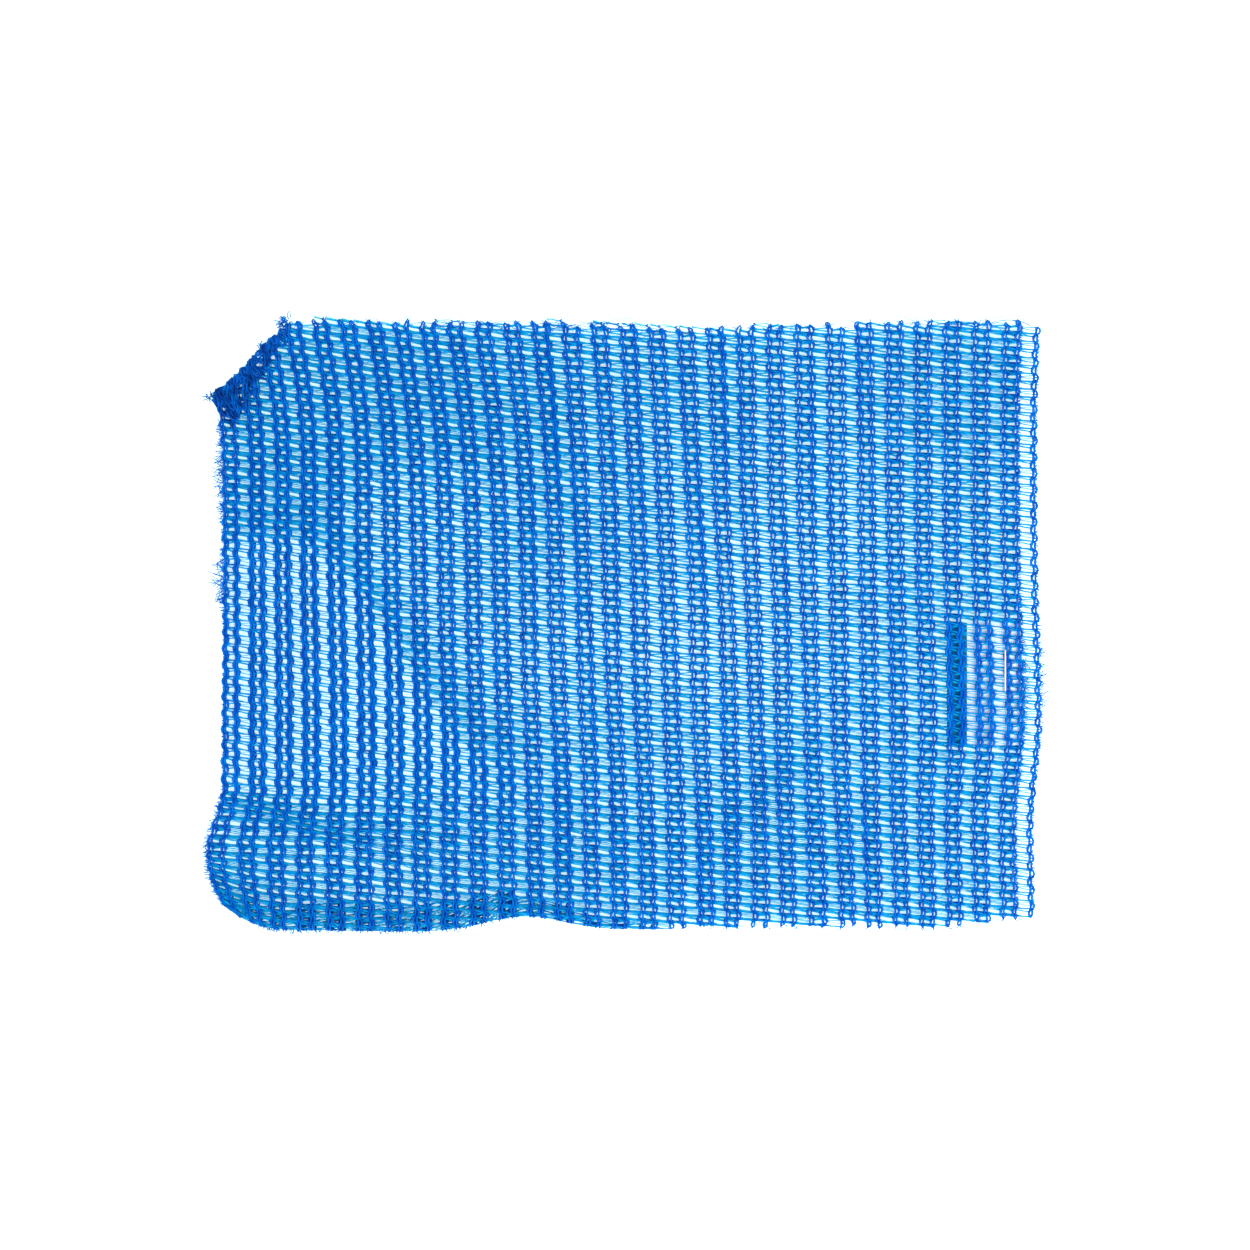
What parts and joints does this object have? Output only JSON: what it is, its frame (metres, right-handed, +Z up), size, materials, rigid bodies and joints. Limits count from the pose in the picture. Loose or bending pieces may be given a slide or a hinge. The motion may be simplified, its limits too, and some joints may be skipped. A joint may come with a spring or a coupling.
{
  "type": "hay net",
  "caption": "Flat folded knitted hay net of two stapled plies with a tag card; the front ply opens like a page.",
  "frame": {"origin": "centre of the net's footprint, on the surface it lies on", "axes": "+Z up, +Y along the wales towards the top edge, +X across the wales towards the stapled edge"},
  "size_m": [0.244, 0.18, 0.0048],
  "materials": {
    "inlay_yarn": "fine blue polyethylene yarn, slightly translucent, low sheen",
    "wale_yarn": "looped blue polyethylene yarn, satin",
    "card": "smooth white card with a plain teal stripe",
    "wire": "bright galvanised wire"
  },
  "bodies": {
    "back_ply": {"back_inlays": "inlay_yarn", "back_wales": "wale_yarn", "back_corner": "wale_yarn", "margin_inlays": "inlay_yarn", "margin_wales": "wale_yarn", "tag_card": "card", "staple": "wire"},
    "front_ply": {"front_inlays": "inlay_yarn", "front_wales": "wale_yarn", "front_corner": "wale_yarn"}
  },
  "joints": [
    {"name": "front_ply_turn", "type": "hinge", "parent": "back_ply", "child": "front_ply", "pos_m": [0.1124, 0, 0.0036], "axis": [0, 1, 0], "range_deg": [0, 165]}
  ]
}
